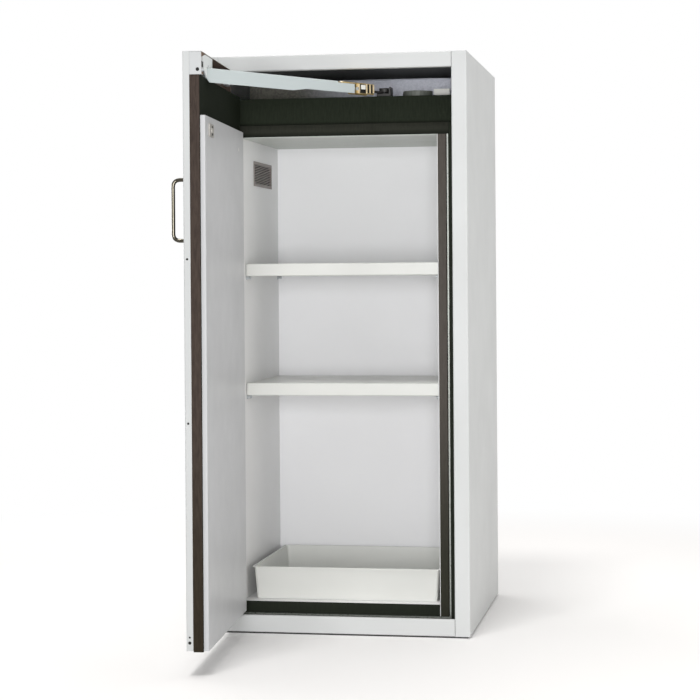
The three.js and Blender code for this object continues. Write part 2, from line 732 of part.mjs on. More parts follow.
// Handle: one bent round bar near the free edge.
const handleX = freeEdge - handleInset;
const handleY = leafFace - handleReach;
const handleFoot = leafFace - seat;
const handleTopZ = leafTop - handleDrop + handleSpacing / 2;
const handleBottomZ = handleTopZ - handleSpacing;
const handlePoint = (y, z) => new THREE.Vector3(handleX, y, z);
const handlePath = new THREE.CurvePath();
handlePath.add(new THREE.LineCurve3(
  handlePoint(handleFoot, handleTopZ), handlePoint(handleY + handleBend, handleTopZ)));
handlePath.add(new THREE.QuadraticBezierCurve3(
  handlePoint(handleY + handleBend, handleTopZ), handlePoint(handleY, handleTopZ),
  handlePoint(handleY, handleTopZ - handleBend)));
handlePath.add(new THREE.LineCurve3(
  handlePoint(handleY, handleTopZ - handleBend), handlePoint(handleY, handleBottomZ + handleBend)));
handlePath.add(new THREE.QuadraticBezierCurve3(
  handlePoint(handleY, handleBottomZ + handleBend), handlePoint(handleY, handleBottomZ),
  handlePoint(handleY + handleBend, handleBottomZ)));
handlePath.add(new THREE.LineCurve3(
  handlePoint(handleY + handleBend, handleBottomZ), handlePoint(handleFoot, handleBottomZ)));
const barSection = new THREE.Shape().absarc(0, 0, handleRadius, 0, 2 * Math.PI);
add(leaf, 'door_handle', new THREE.ExtrudeGeometry(barSection, {
  steps: roundSteps * 2, curveSegments: roundSteps / 2, extrudePath: handlePath,
}), chrome);

// Strike plate with its small bolt on the inner panel.
const strikeX = panelFree - strikeInset;
const strikeLevel = panelTop - strikeDrop;
add(leaf, 'strike_plate', join(
  alongY(rectangle(strikeX - strikeWidth / 2, strikeLevel - strikeHeight / 2,
    strikeX + strikeWidth / 2, strikeLevel + strikeHeight / 2, bend),
  panelBack + seat, panelBack + seat + strikeThickness),
  alongY(rectangle(strikeX - boltWidth / 2, strikeLevel - boltHeight / 2,
    strikeX + boltWidth / 2, strikeLevel + boltHeight / 2, bend),
  panelBack + seat, panelBack + seat + boltReach)), zinc);

// Stay bracket under the leaf's top flange: an upright beside the stay and a plate over its pivot.
const stayPivotAlong = freeEdge - stayPivotInset;
const upright = stayPivotAlong + bracketStart;
const bracketHinge = stayPivotAlong - bracketReach;
const bracketFree = stayPivotAlong + bracketEnd;
const flangeUnder = leafTop - sheet - seat;
const bracketBack = stayPivotBack + bracketOffset;
const plateBottom = stayTop + 2 * seat;
const bracketShares = [[0, 0], [0.5, 0.24], [0.95, 0.5]]; // its lower free corner is cut away
add(leaf, 'stay_bracket', cut(
  join(
    alongY([
      [bracketFree, flangeUnder],
      [bracketHinge, flangeUnder],
      [bracketHinge, plateBottom],
      [upright, plateBottom],
      ...bracketShares.map(([along, up]) => [
        upright + along * (bracketFree - upright),
        coreTop + seat + up * (flangeUnder - coreTop - seat),
      ]),
    ], bracketBack - bracketSheet, bracketBack),
    block(bracketHinge, bracketBack - bracketFoot, flangeUnder - bracketSheet,
      freeEdge - capReturn - seat, bracketBack, flangeUnder),
    alongZ(rectangle(stayPivotAlong - stayNose, stayPivotBack - stayNose,
      upright + bracketFoot, bracketBack, bend), plateBottom, plateBottom + bracketSheet)),
  rod(stayPivotAlong, stayPivotBack, plateBottom - overrun, plateBottom + bracketSheet + overrun,
    stayPin + boreClearance),
  rod(stayPivotAlong, stayPivotBack, plateBottom + bracketSheet,
    plateBottom + bracketSheet + stayPinHeadHeight + 2 * seat, stayPinHead + boreClearance)), paint);
add(leaf, 'stay_pivot_pin', turned([
  [0, stayTop - staySheet - seat - stayCollarHeight],
  [stayCollar, stayTop - staySheet - seat - stayCollarHeight],
  [stayCollar, stayTop - staySheet - seat],
  [stayPin, stayTop - staySheet - seat],
  [stayPin, plateBottom + bracketSheet + seat],
  [stayPinHead, plateBottom + bracketSheet + seat],
  [stayPinHead, plateBottom + bracketSheet + seat + stayPinHeadHeight],
  [0, plateBottom + bracketSheet + seat + stayPinHeadHeight],
], stayPivotAlong, stayPivotBack), zinc);

// The stay is an inverted channel, closed at its near end. Its outer cheek hangs beside the core and
// gets shallower where it passes over the header, and its inner cheek clears the core's top.
leaf.add(stay);
stay.position.set(stayPivotAlong, stayPivotBack, 0);
stay.rotation.z = Math.PI - stayFold;
const stayLength = stayPivotAlong - elbowOffset;
const stayEnd = stayLength + stayTail;
const stayBottom = stayTop - stayOuterCheek;
const stayHalf = stayWidth / 2;
const taper = stayTaperShares.map((share) => share * stayLength);
const channel = alongX(foldedSheet([
  [-stayHalf, stayBottom],
  [-stayHalf, stayTop],
  [stayHalf, stayTop],
  [stayHalf, stayTop - stayInnerCheek],
], staySheet, bend, -1), -stayNose, stayEnd);
const endPlate = alongX([
  [-stayHalf, stayBottom],
  [stayHalf, stayTop - stayInnerCheek],
  [stayHalf, stayTop - bend],
  [-stayHalf, stayTop - bend],
], -stayNose, -stayNose + staySheet);
const elbowLevel = stayTop - linkSheet - seat;
const lowWeb = block(stayLength - elbowSeat, -stayHalf + staySheet / 2, elbowLevel - staySheet,
  stayEnd, stayHalf - staySheet / 2, elbowLevel);
add(stay, 'stay_arm', cut(join(channel, endPlate, lowWeb),
  block(stayLength - elbowSeat, -stayWidth, elbowLevel, stayEnd + overrun, stayWidth, stayTop + overrun),
  alongY([
    [taper[0], stayBottom - overrun],
    [stayEnd + overrun, stayBottom - overrun],
    [stayEnd + overrun, headerTop + stayClearance],
    [taper[1], headerTop + stayClearance],
    [taper[0], stayBottom],
  ], -stayWidth, stayWidth),
  alongY([
    [-stayNose - overrun, stayBottom - overrun],
    [0, stayBottom - overrun],
    [0, stayBottom],
    [-stayNose * 0.7, stayTop - stayInnerCheek],
    [-stayNose - overrun, stayTop - stayInnerCheek],
  ], -stayWidth, stayWidth),
  block(stayEnd - stayTailNotch, stayHalf - stayTailRelief, stayBottom - overrun,
    stayEnd + overrun, stayHalf + overrun, stayTop + overrun),
  rod(0, 0, stayTop - staySheet - overrun, stayTop + overrun, stayPin + boreClearance),
  rod(stayLength, 0, elbowLevel - staySheet - overrun, elbowLevel + overrun, stayPin + boreClearance)), zinc);
add(stay, 'stay_elbow_pin', turned([
  [0, elbowLevel - staySheet - seat - stayCollarHeight],
  [stayCollar, elbowLevel - staySheet - seat - stayCollarHeight],
  [stayCollar, elbowLevel - staySheet - seat],
  [stayPin, elbowLevel - staySheet - seat],
  [stayPin, linkTop + seat],
  [stayPinHead, linkTop + seat],
  [stayPinHead, linkTop + seat + elbowHead],
  [0, linkTop + seat + elbowHead],
], stayLength, 0), zinc);

// The gilt link runs from the elbow to the catch's stud, which leaves through a slanted notch.
const leafPoint = (along, inward, turn) => new THREE.Vector2(along, inward)
  .rotateAround(new THREE.Vector2(), turn).add(new THREE.Vector2(pivotX, pivotY));
const stayDirection = Math.PI - stayFold - openAngle;
const elbow = leafPoint(stayPivotAlong, stayPivotBack, -openAngle)
  .add(new THREE.Vector2(stayLength, 0).rotateAround(new THREE.Vector2(), stayDirection));
const linkRun = new THREE.Vector2(catchX, catchY).sub(elbow);
const linkLength = linkRun.length();
stay.add(link);
link.position.set(stayLength, 0, 0);
link.rotation.z = linkRun.angle() - stayDirection;
const cheekBottom = headerTop + stayClearance;
const strap = alongZ(rectangle(-linkEnd, -linkWidth / 2, cheekEnd, linkWidth / 2, bend), linkBottom, linkTop);
const cheeks = alongX(foldedSheet([
  [-linkWidth / 2, cheekBottom],
  [-linkWidth / 2, linkTop],
  [linkWidth / 2, linkTop],
  [linkWidth / 2, cheekBottom],
], cheekSheet, bend, -1), cheekStart, cheekEnd);
add(link, 'catch_link', cut(join(strap, cheeks),
  rod(0, 0, linkBottom - overrun, linkTop + overrun, stayPin + boreClearance)), gilt);

// A black hook under the link steps down to the stud. It leaves the stud through its slanted notch.
const hookSection = foldedSheet([
  [hookStart, linkBottom - seat],
  [hookBend, linkBottom - seat],
  [hookBend, hookTop],
  [linkLength + hookEnd, hookTop],
], hookSheet, bend, -1);
const notchHalf = studRadius + studClearance;
const notch = join(
  rod(linkLength, 0, hookBottom - overrun, hookTop + overrun, notchHalf),
  alongZ(rectangle(0, -notchHalf, 2 * linkEnd, notchHalf), hookBottom - overrun, hookTop + overrun)
    .rotateZ(notchAngle).translate(linkLength, 0, 0));
add(link, 'catch_hook', cut(alongY(hookSection, -hookWidth / 2, hookWidth / 2), notch), blackPlastic);

export default cabinet;
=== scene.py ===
from math import cos, pi, radians, sin

import bmesh
import bpy
from mathutils import Matrix, Vector


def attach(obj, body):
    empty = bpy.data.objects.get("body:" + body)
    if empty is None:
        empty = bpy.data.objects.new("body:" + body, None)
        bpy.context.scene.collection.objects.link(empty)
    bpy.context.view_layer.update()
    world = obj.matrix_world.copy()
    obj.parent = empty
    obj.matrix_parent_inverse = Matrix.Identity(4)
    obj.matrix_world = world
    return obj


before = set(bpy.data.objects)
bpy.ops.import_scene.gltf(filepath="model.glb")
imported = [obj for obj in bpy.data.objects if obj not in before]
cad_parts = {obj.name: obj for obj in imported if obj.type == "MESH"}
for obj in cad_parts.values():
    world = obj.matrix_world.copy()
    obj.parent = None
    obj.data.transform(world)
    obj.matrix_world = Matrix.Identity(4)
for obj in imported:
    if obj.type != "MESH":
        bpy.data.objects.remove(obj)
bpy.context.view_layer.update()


# The camera stands in front and a little to the right, at about the height of the upper shelf. Its
# lens is long, and its shift keeps the uprights parallel.
camera_place = Vector((0.8024, -4.6497, 0.7978))
camera_yaw = radians(-10.034)
camera_pitch = radians(0.17)
camera_roll = radians(-0.407)
lens = bpy.data.cameras.new("camera")
lens.sensor_width = 36
lens.lens = 101.78
lens.shift_y = -0.0944
camera = bpy.data.objects.new("camera", lens)
bpy.context.scene.collection.objects.link(camera)
ahead = Vector((sin(camera_yaw) * cos(camera_pitch), cos(camera_yaw) * cos(camera_pitch),
                -sin(camera_pitch)))
level_right = Vector((cos(camera_yaw), -sin(camera_yaw), 0))
level_up = level_right.cross(ahead)
right = level_right * cos(camera_roll) + level_up * sin(camera_roll)
up = level_up * cos(camera_roll) - level_right * sin(camera_roll)
camera_frame = Matrix((right, up, -ahead)).transposed().to_4x4()
camera_frame.translation = camera_place
camera.matrix_world = camera_frame
bpy.context.scene.camera = camera


# A matt white studio floor takes the soft shadow of the cabinet, and runs out into a white backdrop. A
# pale room and five wide lamps light the cabinet evenly from in front, above, behind and the right.
floor_white = (0.88, 0.87, 0.865, 1)
floor_lift = 0.1
floor_radius = 9
fade_per_metre = 0.42
fade_from, fade_to = 0.05, 0.45
room_tint = (1, 0.99, 0.98, 1)
room_light = 0.18


def seen_directly(tree):
    """One for rays that show a background: from the camera, or off metal and through glass."""
    light_path = tree.nodes.new("ShaderNodeLightPath")
    total = None
    for kind in ("Is Camera Ray", "Is Glossy Ray", "Is Transmission Ray"):
        if total is None:
            total = light_path.outputs[kind]
            continue
        add = tree.nodes.new("ShaderNodeMath")
        add.operation = "ADD"
        add.use_clamp = True
        tree.links.new(total, add.inputs[0])
        tree.links.new(light_path.outputs[kind], add.inputs[1])
        total = add.outputs[0]
    return total


floor_material = bpy.data.materials.new("studio_floor")
floor_material.use_nodes = True
tree = floor_material.node_tree
tree.nodes.clear()
matt = tree.nodes.new("ShaderNodeBsdfDiffuse")
matt.inputs["Color"].default_value = floor_white
glow = tree.nodes.new("ShaderNodeEmission")
level = tree.nodes.new("ShaderNodeMath")
level.operation = "MULTIPLY"
level.inputs[1].default_value = floor_lift
tree.links.new(seen_directly(tree), level.inputs[0])
tree.links.new(level.outputs[0], glow.inputs["Strength"])
lit = tree.nodes.new("ShaderNodeAddShader")
tree.links.new(matt.outputs[0], lit.inputs[0])
tree.links.new(glow.outputs[0], lit.inputs[1])
white = tree.nodes.new("ShaderNodeEmission")
where = tree.nodes.new("ShaderNodeTexCoord")
fade = tree.nodes.new("ShaderNodeTexGradient")
fade.gradient_type = "SPHERICAL"
spread = tree.nodes.new("ShaderNodeMapping")
spread.inputs["Scale"].default_value = (fade_per_metre,) * 3
tree.links.new(where.outputs["Object"], spread.inputs[0])
tree.links.new(spread.outputs[0], fade.inputs[0])
near = tree.nodes.new("ShaderNodeMapRange")
near.interpolation_type = "SMOOTHSTEP"
near.inputs["From Min"].default_value = fade_from
near.inputs["From Max"].default_value = fade_to
tree.links.new(fade.outputs["Fac"], near.inputs["Value"])
blend = tree.nodes.new("ShaderNodeMixShader")
tree.links.new(near.outputs[0], blend.inputs["Fac"])
tree.links.new(white.outputs[0], blend.inputs[1])
tree.links.new(lit.outputs[0], blend.inputs[2])
output = tree.nodes.new("ShaderNodeOutputMaterial")
tree.links.new(blend.outputs[0], output.inputs["Surface"])
bm = bmesh.new()
bmesh.ops.create_circle(bm, cap_ends=True, radius=floor_radius, segments=96)
sheet = bpy.data.meshes.new("studio_floor")
bm.to_mesh(sheet)
bm.free()
sheet.materials.append(floor_material)
studio_floor = bpy.data.objects.new("studio_floor", sheet)
bpy.context.scene.collection.objects.link(studio_floor)

room = bpy.data.worlds.new("studio")
room.use_nodes = True
bpy.context.scene.world = room
tree = room.node_tree
tree.nodes.clear()
soft = tree.nodes.new("ShaderNodeBackground")
soft.inputs["Color"].default_value = room_tint
soft.inputs["Strength"].default_value = room_light
plain = tree.nodes.new("ShaderNodeBackground")
plain.inputs["Color"].default_value = (1, 1, 1, 1)
plain.inputs["Strength"].default_value = 1
choose = tree.nodes.new("ShaderNodeMixShader")
tree.links.new(seen_directly(tree), choose.inputs["Fac"])
tree.links.new(soft.outputs[0], choose.inputs[1])
tree.links.new(plain.outputs[0], choose.inputs[2])
output = tree.nodes.new("ShaderNodeOutputWorld")
tree.links.new(choose.outputs[0], output.inputs["Surface"])
bpy.context.scene.view_settings.view_transform = "Standard"

neutral = (1, 1, 1)
faintly_warm = (1, 0.99, 0.975)
warm = (1, 0.975, 0.93)
for name, place, aim, power, size, tint in (
        ("front_light", (0.6, -5, 0.8), (0, 0, 0.6), 97, 1.3, neutral),
        ("high_light", (-0.7, -3.4, 8), (0, 0, 0.4), 215, 1.6, faintly_warm),
        ("top_light", (-0.6, 0.9, 6.6), (0.1, 0.2, 0), 255, 5, faintly_warm),
        ("rear_light", (-3.4, 4.2, 1), (0, 0, 0.65), 80, 1.6, neutral),
        ("side_light", (3.6, -1.4, 1), (0.2, 0, 0.6), 34, 1.6, warm),
):
    lamp = bpy.data.lights.new(name, "AREA")
    lamp.color = tint
    lamp.energy = power
    lamp.size = size
    holder = bpy.data.objects.new(name, lamp)
    holder.location = place
    holder.rotation_euler = (Vector(aim) - Vector(place)).to_track_quat("-Z", "Y").to_euler()
    bpy.context.scene.collection.objects.link(holder)


# Carcass of folded sheet steel, powder coated light grey: two sides folded round into the stiles, top
# with the top rail, sill and back.
paint_light = (213, 215, 215)
paint_shade = (206, 208, 208)
noise_low, noise_high = 0.3, 0.7


def from_screen(red, green, blue):
    """A colour as a picture shows it, in the linear values that a shader takes."""
    def linear(value):
        share = value / 255
        return share / 12.92 if share <= 0.04045 else ((share + 0.055) / 1.055) ** 2.4
    return linear(red), linear(green), linear(blue), 1


def effect_group(name, settings):
    """A node group on Object coordinates that gives Tone, Roughness and Normal."""
    group = bpy.data.node_groups.new(name, "ShaderNodeTree")
    for socket, value in settings.items():
        made = group.interface.new_socket(socket, in_out="INPUT", socket_type="NodeSocketFloat")
        made.default_value = value
    for socket, kind in (("Tone", "Float"), ("Roughness", "Float"), ("Normal", "Vector")):
        group.interface.new_socket(socket, in_out="OUTPUT", socket_type="NodeSocket" + kind)
    entry = group.nodes.new("NodeGroupInput")
    leave = group.nodes.new("NodeGroupOutput")
    coordinates = group.nodes.new("ShaderNodeTexCoord")
    return group, entry, leave, coordinates.outputs["Object"]


def noise(group, vector, scale, detail=2, rough=0.5):
    """Smooth noise over a surface, mostly between noise_low and noise_high."""
    node = group.nodes.new("ShaderNodeTexNoise")
    node.inputs["Detail"].default_value = detail
    node.inputs["Roughness"].default_value = rough
    group.links.new(vector, node.inputs["Vector"])
    if isinstance(scale, (int, float)):
        node.inputs["Scale"].default_value = scale
    else:
        group.links.new(scale, node.inputs["Scale"])
    return node.outputs["Fac"]


def stretched(group, vector, scale):
    """Coordinates that draw a pattern out along the axis with the small scale."""
    node = group.nodes.new("ShaderNodeMapping")
    node.inputs["Scale"].default_value = scale
    group.links.new(vector, node.inputs["Vector"])
    return node.outputs["Vector"]


def bump(group, height, strength, distance):
    """A normal that follows a height over the surface, distance metres deep."""
    node = group.nodes.new("ShaderNodeBump")
    node.inputs["Distance"].default_value = distance
    group.links.new(height, node.inputs["Height"])
    group.links.new(strength, node.inputs["Strength"])
    return node.outputs["Normal"]


def around(group, value, middle, swing):
    """Turns noise about a half into middle plus or minus swing."""
    scaled = group.nodes.new("ShaderNodeMapRange")
    scaled.clamp = False
    scaled.inputs["From Min"].default_value = noise_low
    scaled.inputs["From Max"].default_value = noise_high
    low = group.nodes.new("ShaderNodeMath")
    low.operation = "SUBTRACT"
    high = group.nodes.new("ShaderNodeMath")
    high.operation = "ADD"
    for node in (low, high):
        group.links.new(middle, node.inputs[0])
        group.links.new(swing, node.inputs[1])
    group.links.new(value, scaled.inputs["Value"])
    group.links.new(low.outputs[0], scaled.inputs["To Min"])
    group.links.new(high.outputs[0], scaled.inputs["To Max"])
    return scaled.outputs[0]


coat, entry, leave, place = effect_group("powder_coat", {
    "Peel": 0.12, "Peel Scale": 420, "Rough": 0.42, "Rough Swing": 0.05,
})
coat.links.new(noise(coat, place, scale=3.5), leave.inputs["Tone"])
coat.links.new(around(coat, noise(coat, place, scale=18, detail=4), entry.outputs["Rough"],
                      entry.outputs["Rough Swing"]), leave.inputs["Roughness"])
coat.links.new(bump(coat, noise(coat, place, entry.outputs["Peel Scale"], detail=1),
                    entry.outputs["Peel"], distance=0.0004), leave.inputs["Normal"])


def two_tones(tree, tone, light, dark):
    """A colour that runs from dark to light as a tone rises."""
    ramp = tree.nodes.new("ShaderNodeValToRGB")
    shadow, shine = ramp.color_ramp.elements
    shadow.position = noise_low
    shadow.color = from_screen(*dark)
    shine.position = noise_high
    shine.color = from_screen(*light)
    tree.links.new(tone, ramp.inputs["Fac"])
    return ramp.outputs["Color"]


def finish_material(name, light, dark, group, metallic=0.0, values=(), **sockets):
    """A material whose colour runs between two tones as its effect group says."""
    material = bpy.data.materials.new(name)
    material.use_nodes = True
    tree = material.node_tree
    shader = tree.nodes["Principled BSDF"]
    effect = tree.nodes.new("ShaderNodeGroup")
    effect.node_tree = group
    for socket, value in dict(values).items():
        effect.inputs[socket].default_value = value
    tree.links.new(two_tones(tree, effect.outputs["Tone"], light, dark), shader.inputs["Base Color"])
    tree.links.new(effect.outputs["Roughness"], shader.inputs["Roughness"])
    tree.links.new(effect.outputs["Normal"], shader.inputs["Normal"])
    shader.inputs["Metallic"].default_value = metallic
    for socket, value in sockets.items():
        shader.inputs[socket.replace("_", " ")].default_value = value
    return material


def shade(material, mask, settings, light, dark):
    """Gives the part of a surface that a mask group marks a second pair of tones."""
    tree = material.node_tree
    shader = tree.nodes["Principled BSDF"]
    plain_colour = shader.inputs["Base Color"].links[0].from_socket
    tone = tree.nodes["Color Ramp"].inputs["Fac"].links[0].from_socket
    marked_colour = two_tones(tree, tone, light, dark)
    marked = tree.nodes.new("ShaderNodeGroup")
    marked.node_tree = mask
    for socket, value in settings.items():
        marked.inputs[socket].default_value = value
    mixed = tree.nodes.new("ShaderNodeMix")
    mixed.data_type = "RGBA"
    colour_a, colour_b = (socket for socket in mixed.inputs if socket.type == "RGBA")
    colour_out = next(socket for socket in mixed.outputs if socket.type == "RGBA")
    tree.links.new(marked.outputs["Mask"], mixed.inputs["Factor"])
    tree.links.new(plain_colour, colour_a)
    tree.links.new(marked_colour, colour_b)
    tree.links.new(colour_out, shader.inputs["Base Color"])


def dress(material, *nodes):
    """Gives solids of the frame a material in place of their plain one."""
    for node in nodes:
        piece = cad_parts[node]
        for spot in piece.material_slots:
            spot.material = material


grey_paint = finish_material("grey_powder_coat", paint_light, paint_shade, coat, values={"Rough": 0.5},
                             Specular_IOR_Level=0.3)
dress(grey_paint, "side_panel_left", "side_panel_right", "top_panel", "sill", "back_panel")


# Base plate under the carcass, set in a little and moulded. Its black is painted shade of the gap under
# the carcass, and it shows as the thin dark line at the foot.
plastic, entry, leave, place = effect_group("moulded_plastic", {
    "Grain": 0.25, "Grain Scale": 900, "Rough": 0.5, "Rough Swing": 0.05,
})
plastic.links.new(noise(plastic, place, scale=30), leave.inputs["Tone"])
plastic.links.new(around(plastic, noise(plastic, place, scale=60, detail=3), entry.outputs["Rough"],
                         entry.outputs["Rough Swing"]), leave.inputs["Roughness"])
plastic.links.new(bump(plastic, noise(plastic, place, entry.outputs["Grain Scale"], detail=3),
                       entry.outputs["Grain"], distance=0.0003), leave.inputs["Normal"])
# Black plastic: real on the catch, and on the base plate a painted shade of the gap under the carcass.
black_plastic = finish_material("black_plastic", (38, 37, 36), (30, 29, 28), plastic)
dress(black_plastic, "base_plate")


# Inner box of pressed mineral fibre board, with insulation and a thick header round it. Its bare edges
# show dark brown round the opening, and thin pale liners are glued to the faces inside.
board, entry, leave, place = effect_group("fibre_board", {
    "Fibre": 0.5, "Fibre Scale": 260, "Rough": 0.85, "Rough Swing": 0.06,
})
upright_streaks = stretched(board, place, (1, 1, 0.16))
streaks = noise(board, upright_streaks, entry.outputs["Fibre Scale"], detail=4, rough=0.6)
board.links.new(streaks, leave.inputs["Tone"])
board.links.new(around(board, streaks, entry.outputs["Rough"], entry.outputs["Rough Swing"]),
                leave.inputs["Roughness"])
board.links.new(bump(board, streaks, entry.outputs["Fibre"], distance=0.0008), leave.inputs["Normal"])
dark_board = finish_material("dark_fire_board", (38, 43, 34), (29, 33, 26), board,
                             Specular_IOR_Level=0.2)
pale_liner = finish_material("pale_liner", (239, 239, 239), (233, 233, 233), coat,
                             values={"Peel": 0.05, "Peel Scale": 700, "Rough": 0.38})
# A darker, slightly greener copy of the pale liner for the roof: painted shade under the roof.
roof_liner_painted_shade = finish_material("roof_liner_painted_shade", (204, 208, 202), (198, 202, 196), coat,
                             values={"Peel": 0.05, "Peel Scale": 700, "Rough": 0.45})
# A lighter copy of the pale liner for the back wall: painted light, making up for the light lost deep
# inside.
back_liner_painted_light = finish_material("back_liner_painted_light", (249, 249, 251), (245, 245, 247), coat,
                              values={"Peel": 0.04, "Peel Scale": 700, "Rough": 0.4})


def fading(name, axis):
    """A mask group that is one below Low along an axis and fades to none at High."""
    group = bpy.data.node_groups.new(name, "ShaderNodeTree")
    for socket in ("Low", "High"):
        group.interface.new_socket(socket, in_out="INPUT", socket_type="NodeSocketFloat")
    group.interface.new_socket("Mask", in_out="OUTPUT", socket_type="NodeSocketFloat")
    entry = group.nodes.new("NodeGroupInput")
    leave = group.nodes.new("NodeGroupOutput")
    place = group.nodes.new("ShaderNodeTexCoord")
    split = group.nodes.new("ShaderNodeSeparateXYZ")
    fall = group.nodes.new("ShaderNodeMapRange")
    fall.interpolation_type = "SMOOTHSTEP"
    fall.inputs["To Min"].default_value = 1
    fall.inputs["To Max"].default_value = 0
    group.links.new(place.outputs["Object"], split.inputs[0])
    group.links.new(split.outputs[axis], fall.inputs["Value"])
    group.links.new(entry.outputs["Low"], fall.inputs["From Min"])
    group.links.new(entry.outputs["High"], fall.inputs["From Max"])
    group.links.new(fall.outputs[0], leave.inputs["Mask"])
    return group


foot_mask = fading("darker_at_foot", "Z")
grey_edge = finish_material("grey_board_edge", (90, 85, 80), (78, 73, 68), board, Specular_IOR_Level=0.25)
shade(grey_edge, foot_mask, {"Low": 0.12, "High": 0.62}, (52, 52, 42), (42, 42, 33))
lintel_board = finish_material("lintel_fire_board", (40, 45, 36), (30, 35, 27), board,
                               Specular_IOR_Level=0.08)
# Painted shade along the header's lower edge, above the step down to the ceiling board.
shade(lintel_board, foot_mask, {"Low": 1.1435, "High": 1.153}, (20, 24, 17), (16, 19, 13))
ledge_board = finish_material("ledge_fire_board", (46, 47, 40), (36, 38, 31), board,
                              Specular_IOR_Level=0.2)
# Painted shade along the ceiling board's lower front edge.
shade(ledge_board, foot_mask, {"Low": 1.121, "High": 1.131}, (24, 28, 20), (18, 22, 15))
dress(dark_board, "floor_board", "back_board", "insulation_left", "insulation_right",
      "insulation_back", "insulation_base")
dress(lintel_board, "header")
dress(ledge_board, "ceiling_board")
dress(grey_edge, "side_board_left", "side_board_right")
dress(pale_liner, "liner_left", "liner_right", "liner_floor")
dress(roof_liner_painted_shade, "liner_ceiling")
dress(back_liner_painted_light, "liner_back")


# Bright plated trims in the joint round the inner box, one up each side and one under the floor. Each is
# a strip of steel, zinc plated and pushed into a groove, with its front edge standing proud.
plating, entry, leave, place = effect_group("plated_metal", {
    "Streak": 0.15, "Streak Scale": 160, "Rough": 0.32, "Rough Swing": 0.08,
})
rubbed = noise(plating, place, entry.outputs["Streak Scale"], detail=5, rough=0.65)
plating.links.new(rubbed, leave.inputs["Tone"])
plating.links.new(around(plating, rubbed, entry.outputs["Rough"], entry.outputs["Rough Swing"]),
                  leave.inputs["Roughness"])
plating.links.new(bump(plating, rubbed, entry.outputs["Streak"], distance=0.0002), leave.inputs["Normal"])
zinc = finish_material("zinc_plate", (212, 216, 219), (188, 192, 196), plating, metallic=0.75)
trim_plate = finish_material("trim_plate", (150, 154, 148), (124, 128, 122), plating, metallic=0.4)
dress(trim_plate, "trim_left", "trim_right", "trim_sill")


# On the header, behind the top rail, lie a duct of galvanised sheet, a disc valve in its rim, a white
# stop block and the black catch with its stud. The catch's hook is black too, and moves with the link.
spangle, entry, leave, place = effect_group("galvanised_spangle", {
    "Streak": 0.05, "Streak Scale": 260, "Rough": 0.42, "Rough Swing": 0.04,
})
crystals = spangle.nodes.new("ShaderNodeTexVoronoi")
spangle.links.new(place, crystals.inputs["Vector"])
spangle.links.new(entry.outputs["Streak Scale"], crystals.inputs["Scale"])
crystal_tone = spangle.nodes.new("ShaderNodeSeparateColor")
spangle.links.new(crystals.outputs["Color"], crystal_tone.inputs[0])
spangle.links.new(crystal_tone.outputs[0], leave.inputs["Tone"])
spangle.links.new(around(spangle, crystal_tone.outputs[1], entry.outputs["Rough"],
                         entry.outputs["Rough Swing"]), leave.inputs["Roughness"])
spangle.links.new(bump(spangle, noise(spangle, place, scale=35), entry.outputs["Streak"],
                       distance=0.0006), leave.inputs["Normal"])
galvanised = finish_material("galvanised_sheet", (208, 210, 221), (198, 201, 212), spangle, metallic=0.2)
# A mask for painted shade, full towards the hinge side along X: the shadow of the stay and leaf on the
# duct, and the shade deep in the grille.
painted_shade_hinge_side = fading("painted_shade_toward_hinge_side", "X")
shade(galvanised, painted_shade_hinge_side, {"Low": -0.16, "High": 0.03}, (112, 110, 100), (96, 94, 86))
white_plastic = finish_material("white_plastic", (236, 236, 231), (228, 228, 223), plastic)
dress(galvanised, "duct")
valve_grey = finish_material("valve_grey", (120, 124, 117), (104, 108, 101), plastic)
dress(black_plastic, "catch_block", "catch_hook")
dress(valve_grey, "valve_rim", "valve_disc")
dress(white_plastic, "stop_block")


# Vent grille in grey plastic, pressed into the left liner: a thin rim round slanted slats, which are
# painted darker as painted shade where they lie deep behind the liner's face.
grey_plastic = finish_material("grey_plastic", (146, 137, 132), (134, 125, 120), plastic)
shade(grey_plastic, painted_shade_hinge_side, {"Low": -0.2285, "High": -0.2265}, (58, 49, 46), (46, 39, 37))
dress(grey_plastic, "vent_grille")


# Two shelves of folded sheet steel with a light grey coat. Each lies loose on four plated pins, which
# are pushed into the side walls.
shelf_paint = finish_material("shelf_powder_coat", (226, 227, 223), (220, 221, 217), coat,
                              values={"Peel": 0.1, "Rough": 0.36})
dress(shelf_paint, "shelf_upper", "shelf_lower")
dress(zinc, *(f"shelf_pin_{level}_{side}_{end}" for level in ("upper", "lower")
              for side in ("left", "right") for end in ("front", "rear")))


# Spill tray of welded sheet steel, coated in the shelves' grey. It stands loose on the floor, and its
# walls lean in towards the bottom.
tray_paint = finish_material("tray_powder_coat", (226, 227, 223), (219, 220, 216), coat,
                             values={"Peel": 0.12, "Rough": 0.4})
dress(tray_paint, "spill_tray")


# Door leaf: a coated steel pan filled with thick fire board, which shows dark at the free edge, and a
# coated board screwed on as the inner face. It turns on two plated pivots.
leaf_pivot = (-0.244, -0.2975)
leaf_turn = radians(85.8)
